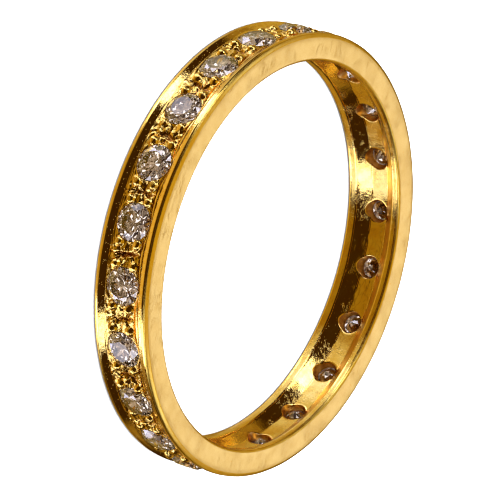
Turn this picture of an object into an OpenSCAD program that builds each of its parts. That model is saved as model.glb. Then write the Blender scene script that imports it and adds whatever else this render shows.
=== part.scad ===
// Full eternity ring: a one-piece gold band with round brilliants set all the way round.
// The ring lies on its side. Its axis is +Z, and the side face that it rests on is at z = 0.

/* [Band] */
// Inside diameter at the two finger lands
finger_d = 16.8; // [16:0.1:19]
// Width of the band along the finger
band_w = 2.7; // [2.6:0.05:3.2]
// Thickness of the band from finger land to rail top
wall_t = 1.2; // [1.15:0.05:1.4]
// Rounding of the four long edges
edge_r = 0.13; // [0.08:0.01:0.16]
// Depth of the hollow inside the band, between the finger lands
hollow_depth = 0.4; // [0.1:0.01:0.42]
// Width of the hollow's floor, between its two slopes
hollow_floor_w = 0.92; // [0.7:0.02:0.96]
// Width of each finger land, without the rounded edge beside it
land_w = 0.22; // [0.15:0.01:0.3]

/* [Setting channel] */
// Width of the channel between the rail tops
channel_w = 2.26; // [2.2:0.02:2.3]
// Width of each bright-cut bevel, seen from above
bevel_w = 0.19; // [0.1:0.01:0.2]
// Depth of the channel floor below the rail tops
channel_depth = 0.14; // [0.1:0.01:0.16]
// Width of the groove engraved along the foot of each bevel
groove_w = 0.08; // [0.04:0.01:0.09]
// Depth of that groove below the channel floor
groove_depth = 0.045; // [0.02:0.005:0.06]

/* [Stones] */
// Number of stones round the band
stone_count = 22; // [20:1:22]
// Girdle diameter of a stone
stone_d = 1.6; // [1.5:0.02:1.62]
// Depth of the upper edge of the girdle below the rail tops
girdle_depth = 0.15; // [0.14:0.01:0.2]
// Gap between a stone and the metal around it
stone_gap = 0.015; // [0.01:0.005:0.03]
// Direction of the first stone from +X
first_stone = 10.9; // [0:0.1:16]
// Most that the hand-set spacing strays from an even one, in degrees
stray_deg = 1.1; // [0:0.1:1.2]
// Smallest diameter of the hole behind each stone, which widens toward the finger
azure_d = 0.8; // [0.7:0.02:0.86]
// How much that hole widens on the radius for each unit of depth
azure_flare = 0.6; // [0:0.05:0.7]

/* [Grains] */
// Diameter of a grain
grain_d = 0.5; // [0.44:0.02:0.52]
// Distance of a grain from the middle of its stone, round the band
grain_reach = 0.85; // [0.83:0.01:0.88]
// Half the distance between the two grains of a pair, across the band
grain_side = 0.4; // [0.38:0.01:0.42]
// Depth of a grain's top below the rail tops
grain_top = 0; // [0:0.01:0.03]
// Width of the cut across the channel, halfway between two stones
cross_cut_w = 0.3; // [0.2:0.02:0.32]
// Width of the cut between the two grains of a pair
long_cut_w = 0.24; // [0.16:0.02:0.26]

/* [Hidden] */
$fn = 64;
finger_r = finger_d / 2;
outer_r = finger_r + wall_t;
floor_r = outer_r - channel_depth;
mid_z = band_w / 2;

// a brilliant's proportions, as shares of its girdle diameter, and its facet angles
crown_angle = 33;
pavilion_angle = 40.75;
table_share = 0.3;    // table corner from the axis
star_share = 0.389;   // lower tip of a star facet from the axis
lower_share = 0.115;  // lower tip of a lower girdle facet from the axis
girdle_share = 0.025; // girdle thickness
stone_r = stone_d / 2;
girdle_t = girdle_share * stone_d;
girdle_r = outer_r - girdle_depth;
// cones just outside the facet edges, for the seat and for the underside of the grains
crown_cone = 40;
pavilion_cone = 41.8;
seat_r = stone_r + stone_gap;
seat_z = -girdle_t - stone_gap;
mouth_flare = 0.01;     // the way in is this much wider than the seat, on the radius
open_r = 0.2 * stone_d; // opening left above the crown, well inside the grains
azure_neck = 0.45;      // depth below the girdle at which the hole behind a stone starts to widen
tool_below = 1.5;       // reach of a cutting tool from the girdle toward the finger
tool_above = 0.6;       // and away from it

step_deg = 360 / stone_count;
early_stone = 17.5; // the two stones beside this place are the early ones
late_stone = 6.5;   // and the stones round this place are a little late
// lengths of the two crossing cuts between stones, and the height of their axes above the floor
cross_cut_l = 1.26;
long_cut_l = 1.1;
cross_cut_rise = 0.04;
long_cut_rise = 0.03;

function two_digits(k) = k < 10 ? str("0", k) : str(k);
function stone_name(k) = str("stone_", two_digits(k));

// the spacing is even but for two neighbours that sit a little early and a few that sit a little late
function stray(k) = stray_deg * (0.75 * exp(-pow((k - late_stone) / 2.4, 2)) - exp(-pow((k - early_stone) / 1.2, 2)));
function stone_angle(k) = first_stone + (k - 1) * step_deg + stray(k);
// the angle halfway from a stone to the next, and how far a stone is turned in its seat
function gap_angle(k) = stone_angle(k) / 2 + (k < stone_count ? stone_angle(k + 1) : stone_angle(1) + 360) / 2;
function clocking(k) = (k * 137.5) % 45;
function arc_deg(length, radius) = length / radius * 180 / PI;

// points of one ring of a stone's corners: n of them at radius r and height z, from angle a0
function corners(n, r, z, a0 = 0) = [for (i = [0:n - 1]) [r * cos(a0 + i * 360 / n), r * sin(a0 + i * 360 / n), z]];

// frame of a stone: local z points out from the finger, with the upper girdle edge at z = 0
module at_stone(angle) {
    translate([0, 0, mid_z])
        rotate([0, 0, angle])
            translate([girdle_r, 0, 0])
                rotate([0, 90, 0])
                    children();
}

// waste outside a rounded edge whose sharp corner is at [x, y] and whose metal lies toward [dx, dy]
module edge_waste(x, y, dx, dy) {
    translate([x, y])
        scale([dx, dy])
            difference() {
                translate([-edge_r, -edge_r])
                    square(2 * edge_r);
                translate([edge_r, edge_r])
                    circle(edge_r);
                translate([edge_r, -edge_r])
                    square([edge_r, 3 * edge_r]);
                translate([-edge_r, edge_r])
                    square([3 * edge_r, edge_r]);
            }
}

// half section of the band: x is the distance from the axis, y the distance from the middle
module band_section() {
    half_top = channel_w / 2;
    half_floor = half_top - bevel_w;
    half_hollow = band_w / 2 - edge_r - land_w;
    above = 0.5;
    difference() {
        translate([finger_r, -band_w / 2])
            square([wall_t, band_w]);
        for (side = [-1, 1]) {
            edge_waste(outer_r, side * band_w / 2, -1, -side);
            edge_waste(finger_r, side * band_w / 2, 1, -side);
        }
        polygon([[outer_r + above, -half_top],
                 [outer_r, -half_top],
                 [floor_r, -half_floor],
                 [floor_r - groove_depth, groove_w / 2 - half_floor],
                 [floor_r, groove_w - half_floor],
                 [floor_r, half_floor - groove_w],
                 [floor_r - groove_depth, half_floor - groove_w / 2],
                 [floor_r, half_floor],
                 [outer_r, half_top],
                 [outer_r + above, half_top]]);
        polygon([[finger_r - above, -half_hollow],
                 [finger_r, -half_hollow],
                 [finger_r + hollow_depth, -hollow_floor_w / 2],
                 [finger_r + hollow_depth, hollow_floor_w / 2],
                 [finger_r, half_hollow],
                 [finger_r - above, half_hollow]]);
    }
}

// way in for one stone, from its girdle outward, before the grains are pushed over it
module seat_mouth() {
    cylinder(r = seat_r + mouth_flare, h = tool_above);
}

// room for one stone under its grains, with the flared azure hole behind it
module stone_room() {
    azure_r = azure_d / 2;
    azure_mouth_r = azure_r + azure_flare * (tool_below - azure_neck);
    pavilion_h = (seat_r - azure_r) * tan(pavilion_cone);
    crown_h = (stone_r - open_r) * tan(crown_cone);
    rotate_extrude()
        polygon([[0, -tool_below],
                 [azure_mouth_r, -tool_below],
                 [azure_r, -azure_neck],
                 [azure_r, seat_z - pavilion_h],
                 [seat_r, seat_z],
                 [seat_r, stone_gap],
                 [open_r, stone_gap + crown_h],
                 [open_r, tool_above],
                 [0, tool_above]]);
}

// one grain, at a stone's corner: along is +1 or -1 round the ring, side +1 or -1 across it
module grain(angle, along, side) {
    rotate([0, 0, angle + along * arc_deg(grain_reach, girdle_r)])
        translate([outer_r - grain_top - grain_d / 2, 0, mid_z + side * grain_side])
            sphere(d = grain_d);
}

// the two crossing cuts between one stone and the next
module cuts(angle) {
    rotate([0, 0, angle]) {
        translate([floor_r + cross_cut_rise, 0, mid_z])
            cylinder(d = cross_cut_w, h = cross_cut_l, center = true);
        translate([floor_r + long_cut_rise, 0, mid_z])
            rotate([90, 0, 0])
                cylinder(d = long_cut_w, h = long_cut_l, center = true);
    }
}

module band() {
    color("goldenrod")
        difference() {
            union() {
                difference() {
                    translate([0, 0, mid_z])
                        rotate_extrude($fn = 192)
                            band_section();
                    for (k = [1:stone_count])
                        at_stone(stone_angle(k))
                            seat_mouth();
                }
                for (k = [1:stone_count], along = [-1, 1], side = [-1, 1])
                    grain(stone_angle(k), along, side);
            }
            for (k = [1:stone_count])
                cuts(gap_angle(k));
            for (k = [1:stone_count])
                at_stone(stone_angle(k))
                    stone_room();
        }
}

// round brilliant with its upper girdle edge at z = 0 and its table toward +z
module brilliant(d) {
    crown_h = (0.5 - table_share) * tan(crown_angle);
    star_h = (0.5 - star_share * cos(22.5)) * tan(crown_angle);
    lower_h = (0.5 - lower_share * cos(22.5)) * tan(pavilion_angle);
    culet_h = 0.5 * tan(pavilion_angle);
    low = -girdle_share;
    // rings of corners: table 0-7, star tips 8-15, girdle top 16-31 and bottom 32-47, lower tips 48-55, culet 56
    points = concat(
        corners(8, table_share, crown_h),
        corners(8, star_share, star_h, 22.5),
        corners(16, 0.5, 0),
        corners(16, 0.5, low),
        corners(8, lower_share, low - lower_h, 22.5),
        [[0, 0, low - culet_h]]);
    table = [[7, 6, 5, 4, 3, 2, 1, 0]];
    upper = [for (i = [0:7]) let (n = (i + 1) % 8, g = 16 + 2 * i, h = 16 + (2 * i + 2) % 16, s = 8 + i)
        each [[i, n, s], [i, s, g], [n, h, s], [s, g + 1, g], [s, h, g + 1]]];
    girdle = [for (i = [0:15]) [16 + i, 16 + (i + 1) % 16, 32 + (i + 1) % 16, 32 + i]];
    lower = [for (i = [0:7]) let (g = 32 + 2 * i, h = 32 + (2 * i + 2) % 16, s = 48 + i)
        each [[s, g, g + 1], [s, g + 1, h], [s, 56, g], [s, h, 56]]];
    scale(d)
        polyhedron(points, concat(table, upper, girdle, lower));
}

module stone(k) {
    color("whitesmoke")
        at_stone(stone_angle(k))
            rotate([0, 0, clocking(k)])
                brilliant(stone_d);
}

band();
for (k = [1:stone_count])
    stone(k);
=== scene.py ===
import math
import bmesh
import bpy
import numpy as np
from mathutils import Matrix, Vector


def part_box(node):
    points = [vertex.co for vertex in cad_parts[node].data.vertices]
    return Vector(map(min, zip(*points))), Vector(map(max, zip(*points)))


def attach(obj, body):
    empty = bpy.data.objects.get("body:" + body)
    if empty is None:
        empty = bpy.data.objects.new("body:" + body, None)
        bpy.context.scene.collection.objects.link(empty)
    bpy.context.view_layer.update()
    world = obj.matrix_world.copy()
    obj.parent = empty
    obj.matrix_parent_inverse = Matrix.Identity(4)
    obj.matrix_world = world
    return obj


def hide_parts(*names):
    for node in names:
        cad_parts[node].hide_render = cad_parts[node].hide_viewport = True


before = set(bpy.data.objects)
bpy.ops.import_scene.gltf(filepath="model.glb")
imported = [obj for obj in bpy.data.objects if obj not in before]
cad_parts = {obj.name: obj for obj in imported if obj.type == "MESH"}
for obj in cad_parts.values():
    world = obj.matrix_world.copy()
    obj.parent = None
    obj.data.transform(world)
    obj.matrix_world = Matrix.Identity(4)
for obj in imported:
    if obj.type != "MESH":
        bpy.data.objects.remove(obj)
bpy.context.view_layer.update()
mm = 0.001  # shapes are worked out in millimetres and built in metres

# what the part says about the ring
bandLow, bandHigh = [np.array(corner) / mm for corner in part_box("band")]
outerRadius = round(float(bandHigh[0] - bandLow[0]) / 2, 3)
bandWidth = round(float(bandHigh[2] - bandLow[2]), 3)
middleZ = float(bandHigh[2] + bandLow[2]) / 2
stoneNames = sorted(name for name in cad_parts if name.startswith("stone_"))


def nodeAngle(name):
    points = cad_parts[name].data.vertices
    middle = np.mean([vertex.co[:] for vertex in points], axis=0)
    return math.degrees(math.atan2(middle[1], middle[0])) % 360


stoneAngles = np.array([nodeAngle(name) for name in stoneNames])
stoneCount = len(stoneAngles)
turnedOn = np.append(stoneAngles, stoneAngles[0] + 360)
gapAngles = (turnedOn[:-1] + turnedOn[1:]) / 2
gapAngles = np.insert(gapAngles, 0, gapAngles[-1] - 360)  # gap 0 is the last gap, one turn back
print("ring:", stoneCount, "stones, radius", outerRadius, "mm, width", bandWidth, "mm")

# the gold band, in millimetres: its section runs from the channel over the rail and the face to the inside
bandShape = {
    "floorDepth": 0.14,     # channel floor below the rails
    "edgeRound": 0.13,
    "fingerRadius": 8.4,
    "hollowRadius": 8.8,
    "hollowFoot": (0.46, 0.36),  # from the band's middle, near and far: the hollow slopes up from here
    "landSide": (1.0, 0.88),     # and meets the finger lands here
    "holeBorder": 0.64,     # the mesh of the tiles reaches this far beside a hole
    "railFall": 0.02,       # the worn rails slope outward
    "stoneDepth": 0.15,     # girdle below the rails
    "stoneRadius": 0.8,
    "seatRadius": 0.815,
    "crownSlope": 0.822,
    "crownGap": 0.004,      # the metal over a stone keeps this far off its crown
    "noseReach": (0.819, 0.64),  # how near to a stone's middle the grains may lean, searched in steps
    "noseSteps": 90,
    "leanFrom": 0.812,      # metal nearer than this leans in over the stone
    "seatDrop": -0.055,
    "seatSlope": 0.894,
    "holeNeck": 0.42,
    "neckDepth": 0.45,
    "holeFlare": 0.4,       # the hole widens by this much for each unit of depth below its neck
    "slotSide": (0.66, 0.862),  # where the worked field ends between stones, on the near and the far side
    "stoneSide": 0.843,     # and where it ends beside a stone
    "bevelEnd": 1.12,       # the bevels end here, and the rails start
    "faceRadii": (9.2, 8.95, 8.7),  # rows of the side faces
    "plainRadii": (8.56, 9.44),  # the metal is even between these, and uneven inside and outside them
    "plainSide": 1.3,       # and at the outer edges of the finger lands
    "wobble": 0.005,        # unevenness of hand-cut edges
    "longParts": 12,        # mesh parts along one stone's length of rail
    "shortParts": 44,       # and across a gap
    "backParts": 16,        # and across the inside
    "outRings": 18,
    "inRings": 8,
    "cornerTurn": 48,       # share of the round seat that faces a gap, in degrees
}
grainShape = {
    "reach": 0.9,           # from the stone's middle, along the ring
    "side": 0.43,
    "alongHalf": 0.25,
    "sideHalf": 0.235,
    "top": 0.17,            # above the channel floor
    "root": 0.07,           # the ball's middle below the channel floor
    "crossDepth": 0.17,     # of the cut across the channel, halfway between two stones
    "longDepth": 0.11,      # of the cut along it
    "backDepth": 0.10,      # of the cut that raised each grain
    "cutSlope": 1.15,
    "collarReach": 0.67,    # a thin collar leans in this far over both ends of a stone
    "collarRise": 0.014,    # its height above the floor at the stone's edge
    "collarFall": 0.7,      # its slope away from the stone
    "collarSide": 0.4,      # it fades farther than this from the band's middle
    "hidden": -0.3,         # a height below every cut, where there is no collar and no ball
    "uneven": 0.05,         # in the height and, in part, in the place of a grain
    "roughness": 0.012,
    "seed": 11,
}
floorRadius = outerRadius - bandShape["floorDepth"]
girdleRadius = outerRadius - bandShape["stoneDepth"]
dice = np.random.default_rng(grainShape["seed"])
grainDice = dice.uniform(-1, 1, (stoneCount, 4, 9))
cutDice = dice.uniform(-1, 1, (stoneCount, 6))
# the band's finishes, in the order of goldFinishes
polished, satin, cutWork, bevelCut, insideWall, insideSlope, nearSlope, holeWall, softEdge = range(9)


def latticeNoise(theta, side, cellsRound, cellSize, seed):
    # smooth noise over the band that closes up after one turn
    rows = int(4 / cellSize) + 3
    table = np.random.default_rng(seed).uniform(-1, 1, (cellsRound, rows))
    across = theta / 360 * cellsRound
    up = (side + 2) / cellSize
    col = np.floor(across).astype(int)
    row = np.clip(np.floor(up).astype(int), 0, rows - 2)
    across = across - col
    up = up - row
    across = across * across * (3 - 2 * across)
    up = up * up * (3 - 2 * up)
    here, after = col % cellsRound, (col + 1) % cellsRound
    low = table[here, row] * (1 - across) + table[after, row] * across
    high = table[here, row + 1] * (1 - across) + table[after, row + 1] * across
    return low * (1 - up) + high * up


def softMax(first, second, width):
    # the larger of two heights, with a rounded corner where they cross
    blend = np.clip(0.5 + (first - second) / (2 * width), 0, 1)
    return second * (1 - blend) + first * blend + width * blend * (1 - blend)


def arcLength(degrees):
    return np.radians(degrees) * girdleRadius


def channelHeight(theta, side, stone):
    # radius of the worked metal around one stone: floor, cuts and grains
    shape = grainShape
    after = theta >= stoneAngles[stone]
    gap = np.where(after, stone + 1, stone)
    along = arcLength(theta - gapAngles[gap])
    lastGap = gapAngles[stone + 1] - stoneAngles[stone]
    firstGap = stoneAngles[stone] - gapAngles[stone]
    halfPitch = arcLength(np.where(after, lastGap, firstGap))
    gap = gap % stoneCount
    rough = latticeNoise(theta, side, 520, 0.115, 3) + 0.7 * latticeNoise(theta, side, 1000, 0.06, 4)
    rough = shape["roughness"] * rough * (1 + 1.6 * np.clip(np.abs(side) / 0.2 - 2.6, 0, 1))
    # the two crossing cuts between the grains wander and slant, as cut by hand
    cut = cutDice[gap]
    wander = latticeNoise(theta, side, 260, 0.23, 14)
    acrossLine = np.abs(along - 0.05 * cut[..., 0] - 0.14 * cut[..., 1] * side - 0.09 * wander)
    alongLine = np.abs(side - 0.04 * cut[..., 2] - 0.12 * cut[..., 3] * along - 0.04 * wander)
    fade = 1 - 0.65 * np.clip(np.abs(side + 0.1 * cut[..., 4]) / 0.62, 0, 1) ** 2
    crossCut = shape["cutSlope"] * acrossLine - shape["crossDepth"] * fade * (1 + 0.2 * cut[..., 4])
    longCut = shape["cutSlope"] * alongLine - shape["longDepth"] * (1 + 0.2 * cut[..., 5])
    height = np.minimum(0, np.minimum(crossCut, longCut)) + rough
    fromStone = np.hypot(halfPitch - np.abs(along), side)
    lean = bandShape["stoneRadius"] - fromStone
    collarSlope = np.where(lean > 0, bandShape["crownSlope"], shape["collarFall"])
    collar = shape["collarRise"] + lean * collarSlope + 0.5 * rough
    collar = collar - np.clip(np.abs(side) - shape["collarSide"], 0, 1)
    collar = np.where(fromStone > shape["collarReach"], collar, shape["hidden"])
    stray = 0.6 * shape["uneven"]
    for which, (end, edge) in enumerate(((-1, -1), (-1, 1), (1, -1), (1, 1))):
        luck = grainDice[gap, which]
        dAlong = along - end * (halfPitch - shape["reach"]) - stray * luck[..., 0]
        dSide = side - edge * shape["side"] - stray * luck[..., 1]
        turn = 0.5 * luck[..., 2]
        longWay = (dAlong * np.cos(turn) + dSide * np.sin(turn)) / shape["alongHalf"]
        wideWay = (dSide * np.cos(turn) - dAlong * np.sin(turn)) / shape["sideHalf"]
        longWay = longWay / (1 + 0.08 * luck[..., 3])
        wideWay = wideWay / (1 + 0.08 * luck[..., 4])
        inside = np.clip(1 - longWay ** 2 - wideWay ** 2, 0, 1)
        # the cut that the grain was raised from runs off it, slanting toward the gap
        slant = end * edge * (0.75 + 0.3 * luck[..., 2])
        behind = -end * dAlong
        offLine = np.abs(dSide + slant * end * (behind - 0.2) * 0.8)
        backCut = shape["cutSlope"] * offLine - shape["backDepth"] * (1 + 0.3 * luck[..., 0])
        backCut = backCut + 0.5 * np.clip(np.abs(behind - 0.3) - 0.08, 0, 1)
        height = np.minimum(height, backCut + rough)
        top = shape["top"] + shape["uneven"] * luck[..., 5]
        ball = (top + shape["root"]) * np.sqrt(inside) - shape["root"]
        tilt = 3.1 * luck[..., 6]  # each ball has one worn flat
        flat = top * (0.93 + 0.08 * luck[..., 7])
        flat = flat + (0.3 + 0.15 * luck[..., 8]) * (np.cos(tilt) * dAlong + np.sin(tilt) * dSide)
        ball = -softMax(-ball, -flat, 0.012)
        ball = np.where(inside > 0, ball + 0.12 * rough, shape["hidden"])
        height = softMax(height, ball, 0.008)
    return floorRadius + softMax(height, collar, 0.006)


def onRing(theta, radius, side):
    turn = np.radians(theta)
    return np.stack([radius * np.cos(turn), radius * np.sin(turn), middleZ + side + 0 * turn], axis=-1)


def onStone(stone, along, side, rise):
    # a point in a stone's own seat: along the ring, across it, and out from the girdle
    turn = math.radians(stoneAngles[stone])
    reach = girdleRadius + rise
    x = reach * math.cos(turn) - along * math.sin(turn)
    y = reach * math.sin(turn) + along * math.cos(turn)
    return np.stack([x, y, middleZ + side + 0 * x], axis=-1)


def seatTheta(stone, along, radius):
    # angle round the ring of a point this far along from a stone's middle
    return stoneAngles[stone] + np.degrees(np.arcsin(along / radius))


def seatRise(stone, theta, radius):
    # how far that point stands out from the stone's girdle
    return radius * np.cos(np.radians(theta - stoneAngles[stone])) - girdleRadius


def crownRise(reach):
    # lowest that metal may hang over a stone, this far from its middle
    return (bandShape["stoneRadius"] - reach) * bandShape["crownSlope"] + bandShape["crownGap"]


def besideStone(theta, stone):
    # 1 beside the middle of a stone, 0 between two stones
    away = np.abs(arcLength(theta - stoneAngles[stone]))
    return 0.5 * (1 + np.cos(np.pi * np.clip(away, 0, 1)))


def slotSide(theta, stone, edge):
    gapSide = bandShape["slotSide"][0 if edge > 0 else 1]
    return gapSide + (bandShape["stoneSide"] - gapSide) * besideStone(theta, stone)


def hollowHeight(theta, side):
    shape = bandShape
    foot, land = [np.where(side > 0, *shape[part]) for part in ("hollowFoot", "landSide")]
    slope = (shape["hollowRadius"] - shape["fingerRadius"]) / (land - foot)
    rise = slope * np.clip(np.abs(side) - foot, 0, 1)
    rough = 0.003 * latticeNoise(theta, side, 80, 0.4, 8) + 0.002 * latticeNoise(theta, side, 330, 0.14, 9)
    return shape["hollowRadius"] - rise + rough * np.clip((land - np.abs(side)) / 0.1, 0, 1)


def hollowBorder(theta, stone, edge):
    # side of the border between a tile and the slope: at the slope's foot, but clear of the hole
    away = np.abs(arcLength(theta - stoneAngles[stone]))
    beside = 0.5 * (1 + np.cos(np.pi * np.clip((away - 0.3) / 0.4, 0, 1)))
    foot = bandShape["hollowFoot"][0 if edge > 0 else 1]
    return foot + (bandShape["holeBorder"] - foot) * beside


bandPoints = []
bandFaces = []
bandFinish = []


def addRow(points):
    start = sum(map(len, bandPoints))
    bandPoints.append(points)
    return np.arange(start, start + len(points))


def addQuads(first, second, finish):
    quads = np.stack([first, np.roll(first, -1), np.roll(second, -1), second], axis=-1)
    bandFaces.extend(quads.tolist())
    bandFinish.extend([finish] * len(quads))


def addFan(fine, coarse, finish):
    # joins a row to one with half as many points
    mid, last, nextCoarse = fine[1::2], np.roll(fine, -2)[::2], np.roll(coarse, -1)
    for corners in ((fine[::2], mid, coarse), (mid, nextCoarse, coarse), (mid, last, nextCoarse)):
        bandFaces.extend(np.stack(corners, axis=-1).tolist())
        bandFinish.extend([finish] * len(coarse))


def tileTurns(longParts, shortParts):
    # directions round a seat, in step with the points round its tile
    corner = bandShape["cornerTurn"]
    return np.radians(np.concatenate([
        np.linspace(-corner, corner, shortParts + 1)[:-1],
        np.linspace(corner, 180 - corner, longParts + 1)[:-1],
        np.linspace(180 - corner, 180 + corner, shortParts + 1)[:-1],
        np.linspace(180 + corner, 360 - corner, longParts + 1)[:-1]]))


def tileEdge(stone, longParts, shortParts, sideOf):
    # angle and side of the points round a tile: last gap, near rail, first gap, far rail
    first, last = gapAngles[stone], gapAngles[stone + 1]
    thetas = np.linspace(first, last, longParts + 1)
    near, far = sideOf(thetas, 1), -sideOf(thetas, -1)
    theta = [np.full(shortParts, last), thetas[::-1][:-1], np.full(shortParts, first), thetas[:-1]]
    side = [np.linspace(far[-1], near[-1], shortParts + 1)[:-1], near[::-1][:-1],
            np.linspace(near[0], far[0], shortParts + 1)[:-1], far[:-1]]
    return np.concatenate(theta), np.concatenate(side)


def addTile(stone):
    shape = bandShape
    turns = tileTurns(shape["longParts"], shape["shortParts"])
    edgeTheta, edgeSide = tileEdge(stone, shape["longParts"], shape["shortParts"],
                                   lambda theta, edge: slotSide(theta, stone, edge))
    # how far the grains lean in over the stone: to where their tops meet the line of its crown
    reaches = np.linspace(*shape["noseReach"], shape["noseSteps"])[:, None]
    theta = seatTheta(stone, reaches * np.cos(turns), floorRadius)
    top = seatRise(stone, theta, channelHeight(theta, reaches * np.sin(turns), stone))
    leans = np.cumprod(top > np.maximum(crownRise(reaches), 0.02), axis=0).sum(axis=0)
    nose = reaches[np.clip(leans, 0, shape["noseSteps"] - 1), 0]
    nose = (np.roll(nose, 1) + 2 * nose + np.roll(nose, -1)) / 4
    rimTheta = seatTheta(stone, nose * np.cos(turns), floorRadius)
    rimSide = nose * np.sin(turns)
    rows = []
    for j in range(shape["outRings"], -1, -1):
        share = (j / shape["outRings"]) ** 1.25
        theta = rimTheta + (edgeTheta - rimTheta) * share
        side = rimSide + (edgeSide - rimSide) * share
        rows.append(addRow(onRing(theta, channelHeight(theta, side, stone), side)))
    rimRadius = channelHeight(rimTheta, rimSide, stone)
    rimRise = seatRise(stone, rimTheta, rimRadius)
    rimAlong = rimRadius * np.sin(np.radians(rimTheta - stoneAngles[stone]))
    seat = shape["seatRadius"]
    wallTop = np.minimum(rimRise - shape["crownGap"], -0.002)
    for share in (0.25, 0.7, 1.0):
        along = rimAlong + (seat * np.cos(turns) - rimAlong) * share
        side = rimSide + (seat * np.sin(turns) - rimSide) * share
        under = np.minimum(crownRise(np.hypot(along, side)), rimRise)
        plain = rimRise + (wallTop - rimRise) * share
        rise = np.where(nose < shape["leanFrom"], under, plain)
        rows.append(addRow(onStone(stone, along, side, rise)))
    drop = shape["seatDrop"]
    rows.append(addRow(onStone(stone, seat * np.cos(turns), seat * np.sin(turns), drop + 0 * turns)))
    for j in range(len(rows) - 1):
        addQuads(rows[j], rows[j + 1], cutWork)

    # the seat's cone and the hole behind the stone
    neck, inner = shape["holeNeck"], shape["hollowRadius"]
    fineTurns, backTurns = turns[::2], tileTurns(shape["longParts"], shape["backParts"])
    mouth = neck + 0 * backTurns
    for repeat in range(8):
        # where the widening hole meets the hollow
        theta = seatTheta(stone, mouth * np.cos(backTurns), inner)
        level = seatRise(stone, theta, hollowHeight(theta, mouth * np.sin(backTurns)))
        mouth = neck + shape["holeFlare"] * (-level - shape["neckDepth"])
    below = []
    # rows down the cone, by their distance from its middle, then down the hole, by their share of its depth
    depths = ((0.76, None), (0.58, None), (neck + 0.02, None), (neck, None),
              (None, 0.0), (None, 0.35), (None, 0.7), (None, 0.92))
    for j, (reach, share) in enumerate(depths):
        turn = fineTurns + (backTurns - fineTurns) * j / (len(depths) - 1)
        if share is None:
            rise = drop - (seat - reach) * shape["seatSlope"] + 0 * turn
        else:
            reach = neck + (mouth - neck) * share
            rise = -shape["neckDepth"] - (reach - neck) / shape["holeFlare"]
        below.append(addRow(onStone(stone, reach * np.cos(turn), reach * np.sin(turn), rise)))
    addFan(rows[-1], below[0], cutWork)
    # the worn edge of the hole
    for wider, sink in ((0.006, 0.008), (0.022, 0.0)):
        side = (mouth + wider) * np.sin(backTurns)
        theta = seatTheta(stone, (mouth + wider) * np.cos(backTurns), inner)
        below.append(addRow(onRing(theta, hollowHeight(theta, side) + sink, side)))
    edgeTheta, edgeSide = tileEdge(stone, shape["longParts"], shape["backParts"],
                                   lambda angles, edge: hollowBorder(angles, stone, edge))
    for j in range(1, shape["inRings"] + 1):
        share = (j / shape["inRings"]) ** 1.15
        t = theta + (edgeTheta - theta) * share
        s = side + (edgeSide - side) * share
        below.append(addRow(onRing(t, hollowHeight(t, s), s)))
    for j in range(len(below) - 1):
        finish = cutWork if j < 3 else holeWall if j < len(depths) else insideWall
        addQuads(below[j], below[j + 1], finish)


def besideTile(stone):
    # angles of the rail's points beside one tile
    return np.linspace(gapAngles[stone], gapAngles[stone + 1], bandShape["longParts"] + 1)[:-1]


def allRound(valuesOf):
    # the values beside every tile, in one row round the ring
    return np.concatenate([valuesOf(besideTile(stone), stone) for stone in range(stoneCount)])


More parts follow.
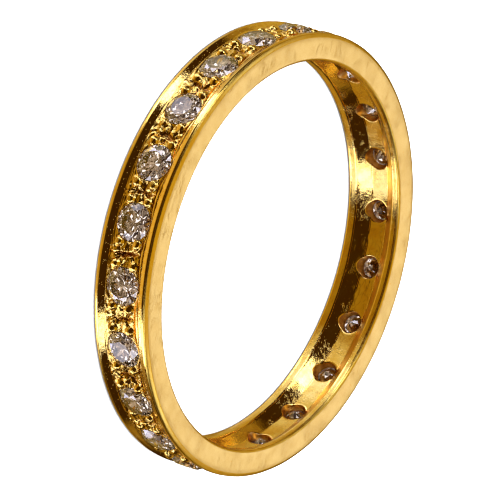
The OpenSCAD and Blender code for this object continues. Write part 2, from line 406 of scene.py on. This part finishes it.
def addRail(edge):
    # foot, bevel, rail, face and inside of one side; edge is -1 or 1
    shape = bandShape
    thetas = allRound(lambda part, stone: part)
    near = allRound(besideStone)
    top, half = outerRadius, bandWidth / 2
    turn, fall = shape["edgeRound"], shape["railFall"]
    # side and depth below the rail, between two stones, then the same beside a stone
    if edge > 0:
        # a slot along the grains, a plain strip that rises from it, and a thin line before the bevel
        cutRows = (
            (0.672, 0.19, 0.846, 0.155, cutWork),
            (0.69, 0.192, 0.848, 0.157, cutWork),
            (0.704, 0.155, 0.851, 0.148, bevelCut),
            (0.716, 0.138, 0.854, 0.136, bevelCut),
            (0.78, 0.126, 0.857, 0.133, bevelCut),
            (0.845, 0.113, 0.861, 0.13, bevelCut),
            (0.858, 0.122, 0.866, 0.126, bevelCut),
            (0.868, 0.112, 0.871, 0.114, bevelCut),
        )
        # the rail's inner edge is worn round, its outer edge to a steep bevel
        bevelRows = ((0.88, 0.0875), (0.95, 0.0655), (1.03, 0.0405), (1.09, 0.0215), (1.118, 0.0125),
                     (1.135, 0.0095), (1.15, 0.0105), (1.17, 0.0128), (1.2, 0.017))
        edgeRows = ((1.245, 0.0235), (1.266, 0.032), (1.279, 0.043), (1.289, 0.058), (1.305, 0.087),
                    (1.321, 0.118), (1.335, 0.146), (1.345, 0.17), (half, 0.195))
    else:
        cutRows = (
            (0.866, 0.14, 0.848, 0.142, cutWork),
            (0.872, 0.14, 0.857, 0.141, cutWork),
            (0.878, 0.144, 0.87, 0.144, cutWork),
        )
        bevelRows = ((0.886, 0.14), (0.96, 0.0972), (1.04, 0.0515), (1.118, 0.007), (1.133, 0.0),
                     (1.16, 0.3 * fall), (1.195, 0.7 * fall))
        bends = np.radians((4, 18, 34, 50, 66, 80))
        edgeRows = tuple(zip(half - turn + turn * np.sin(bends), turn - (turn - fall) * np.cos(bends)))
        edgeRows += ((half, turn + 0.004),)
    plainRows = []
    for side, below in bevelRows:
        plainRows.append((side, top - below, bevelCut if side < shape["bevelEnd"] else polished))
    for side, below in edgeRows:
        plainRows.append((side, top - below, softEdge))
    for radius in shape["faceRadii"] + (shape["fingerRadius"] + turn + 0.004,):
        plainRows.append((half, radius, satin))
    for degrees in (12, 30, 48, 66, 82):
        bend = math.radians(degrees)
        plainRows.append((half - turn + turn * math.cos(bend),
                          shape["fingerRadius"] + turn - turn * math.sin(bend), softEdge))
    finger, land = shape["fingerRadius"], shape["landSide"][0 if edge > 0 else 1]
    plainRows += [(land + 0.19, finger, insideWall), (land + 0.1, finger, insideWall),
                  (land + 0.012, finger, insideWall), (land, finger + 0.006, insideWall)]

    def fieldEnd(part, stone):
        side = edge * slotSide(part, stone, edge)
        return onRing(part, channelHeight(part, side, stone), side)

    rows = [(addRow(allRound(fieldEnd)), cutWork)]
    for gapSide, gapDepth, stoneSide, stoneDepth, finish in cutRows:
        side = edge * (gapSide + (stoneSide - gapSide) * near)
        radius = top - gapDepth - (stoneDepth - gapDepth) * near
        radius = radius + 0.8 * shape["wobble"] * latticeNoise(thetas, side, 300, 0.3, 5)
        rows.append((addRow(onRing(thetas, radius, side)), finish))
    plainIn, plainOut = shape["plainRadii"]
    for side, radius, finish in plainRows:
        across = edge * side + 0 * thetas
        outward = np.clip((radius - plainOut) / 0.1, 0, 1)
        inward = np.clip((plainIn - radius) / 0.1, 0, 1) * np.clip((shape["plainSide"] - side) / 0.1, 0, 1)
        uneven = shape["wobble"] * outward * latticeNoise(thetas, across, 110, 0.25, 6)
        uneven = uneven + 0.002 * inward * latticeNoise(thetas, across, 90, 0.25, 7)
        rows.append((addRow(onRing(thetas, radius + uneven, across)), finish))
    last = allRound(lambda part, stone: hollowBorder(part, stone, edge))
    slope = nearSlope if edge > 0 else insideSlope
    for share in (0.03, 0.25, 0.5, 0.75, 1.0):
        side = edge * (land + (last - land) * share)
        rows.append((addRow(onRing(thetas, hollowHeight(thetas, side), side)), slope))
    for (here, finish), (after, nextFinish) in zip(rows[:-1], rows[1:]):
        addQuads(here, after, satin if satin in (finish, nextFinish) else nextFinish)


def makeBand():
    for stone in range(stoneCount):
        addTile(stone)
    for edge in (-1, 1):
        addRail(edge)
    mesh = bpy.data.meshes.new("goldBand")
    mesh.from_pydata((np.concatenate(bandPoints) * mm).tolist(), [], bandFaces)
    mesh.polygons.foreach_set("material_index", bandFinish)
    work = bmesh.new()
    work.from_mesh(mesh)
    bmesh.ops.remove_doubles(work, verts=work.verts, dist=0.0001 * mm)
    bmesh.ops.recalc_face_normals(work, faces=work.faces)
    openEdges = sum(1 for line in work.edges if len(line.link_faces) != 2)
    work.to_mesh(mesh)
    work.free()
    mesh.polygons.foreach_set("use_smooth", [True] * len(mesh.polygons))
    mesh.set_sharp_from_angle(angle=math.radians(55))
    band = bpy.data.objects.new("goldBand", mesh)
    bpy.context.scene.collection.objects.link(band)
    normals = band.modifiers.new("evenNormals", "WEIGHTED_NORMAL")
    normals.keep_sharp = True
    triangles = sum(len(face.vertices) - 2 for face in mesh.polygons)
    print("band:", triangles, "triangles,", openEdges, "open edges")
    return band


band = makeBand()
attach(band, "root")
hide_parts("band")


def addNode(tree, kind, inputs=None, **settings):
    made = tree.nodes.new(kind)
    for key, value in settings.items():
        setattr(made, key, value)
    for key, value in (inputs or {}).items():
        if isinstance(value, bpy.types.NodeSocket):
            tree.links.new(value, made.inputs[key])
        else:
            made.inputs[key].default_value = value
    return made


def math2(tree, operation, first, second=0.0):
    return addNode(tree, "ShaderNodeMath", {0: first, 1: second}, operation=operation).outputs[0]


def rangeOf(tree, value, low, high, toLow=0.0, toHigh=1.0):
    inputs = {"Value": value, "From Min": low, "From Max": high, "To Min": toLow, "To Max": toHigh}
    return addNode(tree, "ShaderNodeMapRange", inputs, interpolation_type="SMOOTHSTEP").outputs["Result"]


def noiseOf(tree, place, scale, detail, **more):
    inputs = {"Vector": place, "Scale": scale, "Detail": detail, **more}
    return addNode(tree, "ShaderNodeTexNoise", inputs).outputs


def newGroup(name, inputs, output):
    # a node group with these inputs and one output
    group = bpy.data.node_groups.new(name, "ShaderNodeTree")
    for label, value in inputs.items():
        socket = group.interface.new_socket(label, in_out="INPUT", socket_type="NodeSocketFloat")
        socket.default_value = value
    group.interface.new_socket(output, in_out="OUTPUT", socket_type="NodeSocketFloat")
    return group, group.nodes.new("NodeGroupInput").outputs, group.nodes.new("NodeGroupOutput").inputs[0]


def ringPosition(tree):
    # position in millimetres, and its distance from the finger's axis
    place = addNode(tree, "ShaderNodeTexCoord").outputs["Object"]
    place = addNode(tree, "ShaderNodeVectorMath", {0: place, 3: 1000.0}, operation="SCALE").outputs[0]
    split = addNode(tree, "ShaderNodeSeparateXYZ", {0: place}).outputs
    flat = addNode(tree, "ShaderNodeCombineXYZ", {0: split[0], 1: split[1]}).outputs[0]
    radius = addNode(tree, "ShaderNodeVectorMath", {0: flat}, operation="LENGTH").outputs["Value"]
    return place, radius


def makeScratches():
    # fine straight scratches in three directions, broken up
    group, given, result = newGroup("fineScratches", {"Scale": 1.0, "Width": 0.02, "Cover": 0.5}, "Mask")
    place, radius = ringPosition(group)
    total = None
    for turn, seed in ((0.4, 3.1), (1.5, 7.7), (2.5, 12.3)):
        mapped = addNode(group, "ShaderNodeMapping", {"Vector": place, "Rotation": (0.3, 0.2, turn),
                         "Location": (seed, seed, seed), "Scale": (0.35, 7.0, 1.5)}).outputs[0]
        lines = noiseOf(group, mapped, given["Scale"], 1.0, Distortion=0.15)["Fac"]
        lines = math2(group, "ABSOLUTE", math2(group, "SUBTRACT", lines, 0.5))
        lines = rangeOf(group, lines, given["Width"], 0.0)
        patches = noiseOf(group, place, 0.8 + seed * 0.05, 2.0)["Fac"]
        keep = rangeOf(group, math2(group, "ADD", patches, given["Cover"]), 0.95, 1.1)
        lines = math2(group, "MULTIPLY", lines, keep)
        total = lines if total is None else math2(group, "MAXIMUM", total, lines)
    group.links.new(total, result)
    return group


def makeSpecks():
    # small pits and dull spots of uneven size
    group, given, result = newGroup("wornSpecks", {"Scale": 4.0, "Size": 0.2, "Cover": 0.5}, "Mask")
    place, radius = ringPosition(group)
    bent = noiseOf(group, place, 9.0, 2.0)["Color"]
    bent = addNode(group, "ShaderNodeVectorMath", {0: bent, 3: 0.12}, operation="SCALE").outputs[0]
    bent = addNode(group, "ShaderNodeVectorMath", {0: place, 1: bent}, operation="ADD").outputs[0]
    cells = addNode(group, "ShaderNodeTexVoronoi", {"Vector": bent, "Scale": given["Scale"]})
    chance = addNode(group, "ShaderNodeSeparateColor", {0: cells.outputs["Color"]}).outputs[0]
    chosen = rangeOf(group, math2(group, "ADD", chance, given["Cover"]), 0.96, 1.0)
    size = math2(group, "MULTIPLY", given["Size"], chance)
    spot = math2(group, "DIVIDE", cells.outputs["Distance"], size)
    spot = rangeOf(group, spot, 1.0, 0.4)
    group.links.new(math2(group, "MULTIPLY", spot, chosen), result)
    return group


def makeRecess():
    # how deep a point lies in the cuts and corners of the channel: the mask for the shade painted there
    group, given, result = newGroup("recessPaintedShade", {"Top": 9.46, "Bottom": 9.36, "Breakup": 0.02}, "Mask")
    place, radius = ringPosition(group)
    patches = noiseOf(group, place, 5.0, 4.0)["Fac"]
    patches = math2(group, "MULTIPLY", math2(group, "SUBTRACT", patches, 0.5), given["Breakup"])
    level = math2(group, "ADD", radius, patches)
    group.links.new(rangeOf(group, level, given["Top"], given["Bottom"]), result)
    return group


def makeRipple():
    # soft unevenness of cast and hand-polished metal
    group, given, result = newGroup("softRipple", {"Scale": 1.5, "Fine": 12.0, "Mix": 0.3}, "Height")
    place, radius = ringPosition(group)
    broad = noiseOf(group, place, given["Scale"], 2.0)["Fac"]
    close = noiseOf(group, place, given["Fine"], 3.0)["Fac"]
    mixed = addNode(group, "ShaderNodeMix", {0: given["Mix"], 2: broad, 3: close}).outputs[0]
    group.links.new(mixed, result)
    return group


effects = {
    "scratches": makeScratches(),
    "specks": makeSpecks(),
    "recess": makeRecess(),
    "ripple": makeRipple(),
}


def useEffect(tree, name, values):
    made = addNode(tree, "ShaderNodeGroup", node_tree=effects[name])
    for socket, value in zip(made.inputs, values):
        socket.default_value = value
    return made.outputs[0]


def newMaterial(name):
    material = bpy.data.materials.new(name)
    material.use_nodes = True
    tree = material.node_tree
    tree.nodes.clear()
    output = tree.nodes.new("ShaderNodeOutputMaterial")
    shader = tree.nodes.new("ShaderNodeBsdfPrincipled")
    tree.links.new(shader.outputs[0], output.inputs["Surface"])
    return material, tree, shader


def mixColour(tree, share, first, second):
    made = tree.nodes.new("ShaderNodeMix")
    made.data_type = "RGBA"
    for label, value in ((0, share), (6, first), (7, second)):
        if isinstance(value, bpy.types.NodeSocket):
            tree.links.new(value, made.inputs[label])
        else:
            made.inputs[label].default_value = value
    return made.outputs[2]


goldColours = {
    "deep": (0.87, 0.53, 0.12, 1),
    "warm": (0.95, 0.65, 0.14, 1),
    "warmDeep": (0.86, 0.50, 0.065, 1),
    "rich": (0.97, 0.65, 0.10, 1),
    "richDeep": (0.90, 0.54, 0.05, 1),
    # painted shade: the walls of the holes take a darker gold than the rest of the band
    "hole": (0.85, 0.48, 0.11, 1),
    "holeShadeDeep": (0.68, 0.32, 0.05, 1),
    "satin": (0.88, 0.64, 0.24, 1),
    "satinDull": (0.81, 0.555, 0.18, 1),
    # pits and scratches darken to this, and so does the painted shade in the cuts
    "markAndShadeDark": (0.26, 0.065, 0.006, 1),
}
# ripple: scale, fine scale and their mix; scratches: scale, width, cover; specks: scale, size, cover
# marks: how much scratches and specks show in the colour; rough: clean and worn
# bump: metres, and share of marks; recess: radii where the painted shade in the cuts starts and is full,
# and breakup
goldFinishes = {
    "polishedGold": {
        "colours": ("warm", "warmDeep"), "ripple": (0.9, 9.0, 0.12), "scratches": (2.2, 0.012, 0.42),
        "specks": (7.0, 0.22, 0.35), "marks": (0.0, 0.5), "rough": (0.05, 0.2), "bump": (0.00002, 0.02),
    },
    "satinGold": {
        "colours": ("satin", "satinDull"), "ripple": (2.0, 22.0, 0.5), "scratches": (1.6, 0.02, 0.47),
        "specks": (3.2, 0.16, 0.42), "marks": (0.3, 0.8), "rough": (0.35, 0.42), "bump": (0.000002, 0.9),
    },
    "cutGold": {
        "colours": ("warm", "warmDeep"), "ripple": (6.0, 24.0, 0.5), "scratches": (5.0, 0.03, 0.4),
        "specks": (9.0, 0.25, 0.3), "marks": (0.0, 0.3), "rough": (0.03, 0.2), "bump": (0.000012, 0.1),
        "recess": (9.44, 9.33, 0.05),
    },
    "bevelGold": {
        "colours": ("warm", "warmDeep"), "ripple": (5.0, 20.0, 0.4), "scratches": (4.0, 0.02, 0.15),
        "specks": (12.0, 0.3, 0.45), "marks": (0.0, 0.0), "rough": (0.04, 0.1), "bump": (0.000005, 1.5),
    },
    "insideGold": {
        "colours": ("warm", "warmDeep"), "ripple": (1.6, 10.0, 0.2), "scratches": (2.6, 0.03, 0.5),
        "specks": (6.0, 0.2, 0.35), "marks": (0.1, 0.3), "rough": (0.1, 0.2), "bump": (0.000012, 0.1),
    },
    "slopeGold": {
        "colours": ("warm", "warmDeep"), "ripple": (2.0, 12.0, 0.3), "scratches": (2.6, 0.03, 0.4),
        "specks": (8.0, 0.25, 0.45), "marks": (0.1, 0.4), "rough": (0.07, 0.2), "bump": (0.00001, 0.2),
    },
    "nearSlopeGold": {
        "colours": ("rich", "richDeep"), "ripple": (2.0, 12.0, 0.3), "scratches": (2.6, 0.03, 0.4),
        "specks": (8.0, 0.25, 0.3), "marks": (0.1, 0.3), "rough": (0.32, 0.38), "bump": (0.00001, 0.1),
    },
    # painted shade: the walls of the holes are given a darker gold
    "holeShadedGold": {
        "colours": ("hole", "holeShadeDeep"), "ripple": (3.0, 12.0, 0.4), "scratches": (4.0, 0.03, 0.4),
        "specks": (8.0, 0.25, 0.3), "marks": (0.0, 0.3), "rough": (0.3, 0.4), "bump": (0.00001, 0.1),
    },
    "edgeGold": {
        "colours": ("rich", "richDeep"), "ripple": (1.5, 12.0, 0.3), "scratches": (2.2, 0.02, 0.42),
        "specks": (5.0, 0.2, 0.35), "marks": (0.1, 0.4), "rough": (0.3, 0.36), "bump": (0.00001, 0.1),
    },
}


def makeGold(name, finish):
    material, tree, shader = newMaterial(name)
    scratches = useEffect(tree, "scratches", finish["scratches"])
    specks = useEffect(tree, "specks", finish["specks"])
    ripple = useEffect(tree, "ripple", finish["ripple"])
    first, second = [goldColours[which] for which in finish["colours"]]
    colour = mixColour(tree, rangeOf(tree, ripple, 0.3, 0.7), first, second)
    inScratch, inSpeck = finish["marks"]
    marks = math2(tree, "MAXIMUM", math2(tree, "MULTIPLY", scratches, inScratch),
                  math2(tree, "MULTIPLY", specks, inSpeck))
    wear = math2(tree, "MAXIMUM", scratches, specks)
    # painted shade: the deeper a cut lies, the nearer its colour comes to the dark red-brown; it grows
    # rougher too
    if "recess" in finish:
        deepIn = useEffect(tree, "recess", finish["recess"])
        marks = math2(tree, "MAXIMUM", marks, math2(tree, "MULTIPLY", deepIn, 0.8))
        wear = math2(tree, "MAXIMUM", wear, deepIn)
    dark = "deep" if name == "satinGold" else "markAndShadeDark"
    tree.links.new(mixColour(tree, marks, colour, goldColours[dark]), shader.inputs["Base Color"])
    shader.inputs["Metallic"].default_value = 1.0
    rough = rangeOf(tree, wear, 0.0, 1.0, *finish["rough"])
    tree.links.new(rough, shader.inputs["Roughness"])
    depth, share = finish["bump"]
    height = math2(tree, "SUBTRACT", ripple, math2(tree, "MULTIPLY", wear, share))
    bump = addNode(tree, "ShaderNodeBump", {"Strength": 1.0, "Distance": depth, "Height": height})
    tree.links.new(bump.outputs[0], shader.inputs["Normal"])
    return material


for name, finish in goldFinishes.items():
    band.data.materials.append(makeGold(name, finish))

# the stones are the part's own brilliants, with a clear finish
stoneLook = {
    "clear": (0.97, 0.95, 0.94, 1),
    "warm": (0.95, 0.90, 0.86, 1),
    "index": 2.42,
    "gloss": 0.16,
    "glossTint": (1.0, 0.88, 0.55, 1),  # takes the windows' coolness back out
    "ripple": (0.6, 3.0, 0.3),
    "specks": (6.0, 0.2, 0.1),
    "dulled": 0.06,                     # roughness of a speck
}


def makeBrilliant():
    material, tree, shader = newMaterial("clearBrilliant")
    ripple = useEffect(tree, "ripple", stoneLook["ripple"])
    specks = useEffect(tree, "specks", stoneLook["specks"])
    tint = rangeOf(tree, ripple, 0.35, 0.65)
    colour = mixColour(tree, tint, stoneLook["clear"], stoneLook["warm"])
    tree.links.new(colour, shader.inputs["Base Color"])
    shader.inputs["Transmission Weight"].default_value = 1.0
    shader.inputs["IOR"].default_value = stoneLook["index"]
    shader.inputs["Specular IOR Level"].default_value = stoneLook["gloss"]
    shader.inputs["Specular Tint"].default_value = stoneLook["glossTint"]
    tree.links.new(rangeOf(tree, specks, 0.0, 1.0, 0.0, stoneLook["dulled"]), shader.inputs["Roughness"])
    return material


brilliant = makeBrilliant()
for name in stoneNames:
    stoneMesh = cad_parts[name].data
    stoneMesh.materials.clear()
    stoneMesh.materials.append(brilliant)
print("materials:", len(bpy.data.materials))

# room: pale floor and studio light
roomLook = {
    "floorSize": 0.9,
    "floorColour": (0.86, 0.855, 0.85, 1),
    "seen": (0.93, 0.93, 0.925, 1),      # behind the floor's edge
    "fill": (1.5, 1.5, 1.5, 1),          # light on the floor
    "lowest": (0.84, 0.62, 0.25, 1),     # below the ring
    "lowRight": (0.07, 0.04, 0.015, 1),
    "lowMiddle": (0.36, 0.23, 0.03, 1),
    "lowSide": (0.46, 0.30, 0.05, 1),
    "lowLeft": (0.8, 0.74, 0.66, 1),
    "front": (0.045, 0.021, 0.003, 1),
    "frontSide": (0.55, 0.42, 0.12, 1),
    "upperSide": (0.34, 0.23, 0.06, 1),
    "sky": (0.62, 0.43, 0.04, 1),
    "behind": (0.50, 0.36, 0.10, 1),
    "back": (2.45, 2.52, 2.8, 1),        # the panel that lights the side face
    "window": (0.46, 0.50, 0.9, 1),      # cool, so that it looks white in the gold; times its strength
    "stoneDark": (0.03, 0.02, 0.02, 1),
    "stonePale": (0.86, 0.61, 0.38, 1),
    "stoneBright": (2.1, 1.85, 1.6, 1),
}
# panels that the gold reflects, each over the last: colour, then azimuth, half width, lowest and highest
# elevation and softness in degrees
panels = (
    ("front", 270, 180, -27, 56, 2),
    ("frontSide", 145, 20, -35, -2, 3),
    ("upperSide", 145, 20, -2, 30, 3),
    ("upperSide", 44, 22, -6, 20, 5),
    ("lowSide", 22, 32, -41, -27, 3),
    ("behind", 90, 50, 10, 62, 8),
    ("back", 90, 8, 27, 40, 2),
)
# white windows: azimuth, half width, lowest and highest elevation, in degrees, and strength
windows = (
    (199, 9, -58, -40, 8),
    (204, 12, -40, -28, 2.6),
    (209.8, 9, -28, -8, 8),
    (205, 8, 10, 52, 8),
    (341, 11.5, -58, -40, 8),
    (331, 14, -40, -28, 2.9),
    (330.2, 11.5, -28, -8, 8),
    (329, 8, 10, 52, 6),
    (178, 11, -62, -55, 8),
    (352, 14, -62, -56.5, 8),
    (38, 12, 40, 60, 4.5),
    (142, 12, 40, 60, 2.6),
)


def scaled(colour, strength):
    return tuple(part * strength for part in colour[:3]) + (1,)


def makeFloor():
    mesh = bpy.data.meshes.new("floor")
    work = bmesh.new()
    bmesh.ops.create_grid(work, x_segments=8, y_segments=8, size=roomLook["floorSize"])
    work.to_mesh(mesh)
    work.free()
    floor = bpy.data.objects.new("floor", mesh)
    floor.location.z = -0.00001
    bpy.context.scene.collection.objects.link(floor)
    material, tree, shader = newMaterial("paleFloor")
    soft = addNode(tree, "ShaderNodeTexNoise", {"Scale": 60.0, "Detail": 3.0}).outputs["Fac"]
    shade = scaled(roomLook["floorColour"], 0.985)
    tree.links.new(mixColour(tree, soft, roomLook["floorColour"], shade), shader.inputs["Base Color"])
    shader.inputs["Roughness"].default_value = 0.7
    shader.inputs["Specular IOR Level"].default_value = 0.2
    mesh.materials.append(material)
    floor.visible_glossy = False  # the gold and the stones show the studio, not the floor
    floor.visible_transmission = False


def makeStudio():
    # what the gold and the stones reflect: a warm room with a dark front, a bright back and white windows
    world = bpy.data.worlds.new("studio")
    bpy.context.scene.world = world
    world.use_nodes = True
    tree = world.node_tree
    tree.nodes.clear()
    way = addNode(tree, "ShaderNodeTexCoord").outputs["Generated"]
    split = addNode(tree, "ShaderNodeSeparateXYZ", {0: way}).outputs
    level = addNode(tree, "ShaderNodeCombineXYZ", {0: split[0], 1: split[1]}).outputs[0]
    level = addNode(tree, "ShaderNodeVectorMath", {0: level}, operation="NORMALIZE").outputs[0]

    def cosine(degrees):
        return math.cos(math.radians(degrees))

    def sine(degrees):
        return math.sin(math.radians(degrees))

    def panelMask(azimuth, half, lowest, highest, soft):
        toward = (cosine(azimuth), sine(azimuth), 0)
        lined = addNode(tree, "ShaderNodeVectorMath", {0: level, 1: toward}, operation="DOT_PRODUCT")
        outer, inner = cosine(min(half + soft, 180)), cosine(max(half - soft, 0))
        mask = rangeOf(tree, lined.outputs["Value"], outer, inner)
        up = rangeOf(tree, split[2], sine(lowest - soft), sine(lowest + soft))
        down = rangeOf(tree, split[2], sine(highest + soft), sine(highest - soft))
        return math2(tree, "MULTIPLY", mask, math2(tree, "MULTIPLY", up, down))

    # around the gold: below from right to left, then lower still, and above
    colour = mixColour(tree, rangeOf(tree, split[0], 0.6, 0.4), roomLook["lowRight"], roomLook["lowMiddle"])
    colour = mixColour(tree, rangeOf(tree, split[0], -0.42, -0.62), colour, roomLook["lowLeft"])
    colour = mixColour(tree, rangeOf(tree, split[2], -0.76, -0.92), colour, roomLook["lowest"])
    colour = mixColour(tree, rangeOf(tree, split[2], 0.6, 0.8), colour, roomLook["sky"])
    for name, *place in panels:
        colour = mixColour(tree, panelMask(*place), colour, roomLook[name])
    for *place, strength in windows:
        colour = mixColour(tree, panelMask(*place, 1), colour, scaled(roomLook["window"], strength))
    # through the stones: a patchwork that their facets break up
    cells = addNode(tree, "ShaderNodeTexVoronoi", {"Vector": way, "Scale": 10.0}).outputs["Color"]
    chance = addNode(tree, "ShaderNodeSeparateColor", {0: cells}).outputs[0]
    share = math2(tree, "MULTIPLY", chance, chance)
    sparkle = mixColour(tree, share, roomLook["stoneDark"], roomLook["stonePale"])
    sparkle = mixColour(tree, rangeOf(tree, chance, 0.90, 0.92), sparkle, roomLook["stoneBright"])
    rays = addNode(tree, "ShaderNodeLightPath").outputs
    colour = mixColour(tree, rays["Is Transmission Ray"], colour, sparkle)
    colour = mixColour(tree, rays["Is Diffuse Ray"], colour, roomLook["fill"])
    colour = mixColour(tree, rays["Is Camera Ray"], colour, roomLook["seen"])
    background = addNode(tree, "ShaderNodeBackground", {"Color": colour})
    output = tree.nodes.new("ShaderNodeOutputWorld")
    tree.links.new(background.outputs[0], output.inputs[0])


def addSoftbox(name, place, size, power):
    light = bpy.data.lights.new(name, "AREA")
    light.shape = "DISK"
    light.size = size
    light.energy = power
    made = bpy.data.objects.new(name, light)
    made.location = place
    made.rotation_euler = (-Vector(place)).to_track_quat("-Z", "Y").to_euler()
    made.visible_camera = False
    made.visible_glossy = False
    made.visible_transmission = False
    bpy.context.scene.collection.objects.link(made)


makeFloor()
makeStudio()
addSoftbox("overhead", (-0.05, 0.08, 0.5), 0.5, 9.0)

# camera, measured from the middle of the ring
cameraFit = {
    "place": (0.119, -184.23, 121.79),
    "right": (-0.26613, 0.53285, 0.80327),
    "up": (-0.96394, -0.14711, -0.22177),
    "back": (0.0, -0.83332, 0.55279),
    "lens": 376.5,
}


def makeCamera():
    data = bpy.data.cameras.new("camera")
    data.sensor_fit = "HORIZONTAL"
    data.sensor_width = 36
    data.lens = cameraFit["lens"]
    data.clip_start = 0.001
    data.clip_end = 5
    camera = bpy.data.objects.new("camera", data)
    axes = Matrix([cameraFit["right"], cameraFit["up"], cameraFit["back"]]).transposed()
    place = Vector(cameraFit["place"]) * mm + Vector((0, 0, middleZ * mm))
    camera.matrix_world = Matrix.Translation(place) @ axes.to_4x4()
    bpy.context.scene.collection.objects.link(camera)
    bpy.context.scene.camera = camera


makeCamera()
scene = bpy.context.scene
scene.view_settings.view_transform = "Standard"
scene.cycles.max_bounces = 24
scene.cycles.transmission_bounces = 20
scene.cycles.glossy_bounces = 12
scene.cycles.diffuse_bounces = 4
scene.cycles.sample_clamp_indirect = 8.0
scene.cycles.caustics_reflective = False
scene.cycles.filter_width = 1.25

bpy.context.view_layer.update()
